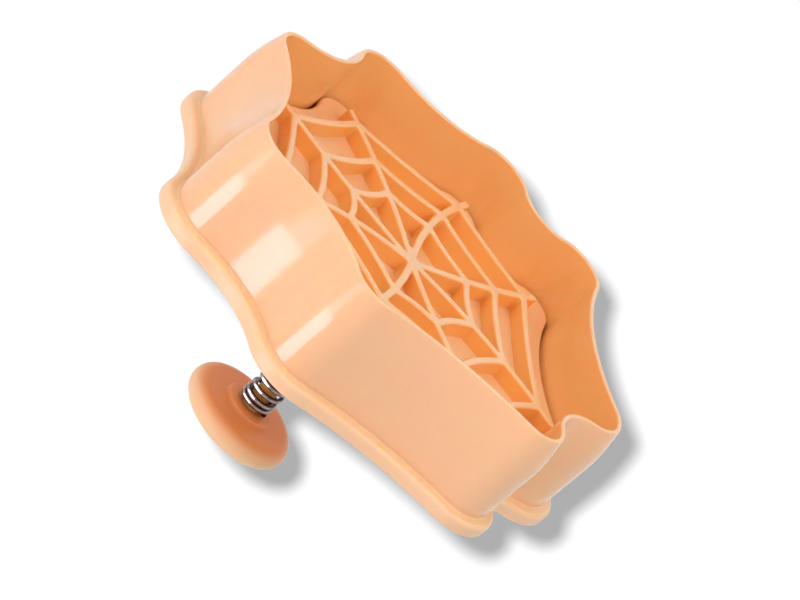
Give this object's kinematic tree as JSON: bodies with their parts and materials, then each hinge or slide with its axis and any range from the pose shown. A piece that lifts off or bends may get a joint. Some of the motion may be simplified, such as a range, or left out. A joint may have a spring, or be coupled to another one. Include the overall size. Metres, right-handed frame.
{
  "type": "plunger cutter",
  "caption": "Lobed dough cutter with a round-edged lip and a spring-loaded plunger: a push knob drives a web-ribbed stamp down inside the cutting wall, and the spring draws it back.",
  "frame": {"origin": "on the plunger's axis, in the plane of the cutting rim that the part stands on", "axes": "+Z along the plunger's axis from the cutting rim to the knob, +X through the tip of one lobe"},
  "size_m": [0.0962, 0.0948, 0.0564],
  "materials": {
    "peach_plastic": "moulded peach-orange plastic, semi-gloss",
    "spring_steel": "bright drawn steel wire"
  },
  "bodies": {
    "cutter": {"cutter_shell": "peach_plastic", "return_spring": "spring_steel"},
    "plunger": {"web_stamp": "peach_plastic", "push_knob": "peach_plastic"}
  },
  "joints": [
    {"name": "plunger_slide", "type": "slide", "parent": "cutter", "child": "plunger", "axis": [0, 0, -1], "range_m": [0, 0.0119], "stiffness_N_per_m": 2000, "springref_m": -0.003, "deforming": ["return_spring"]}
  ]
}
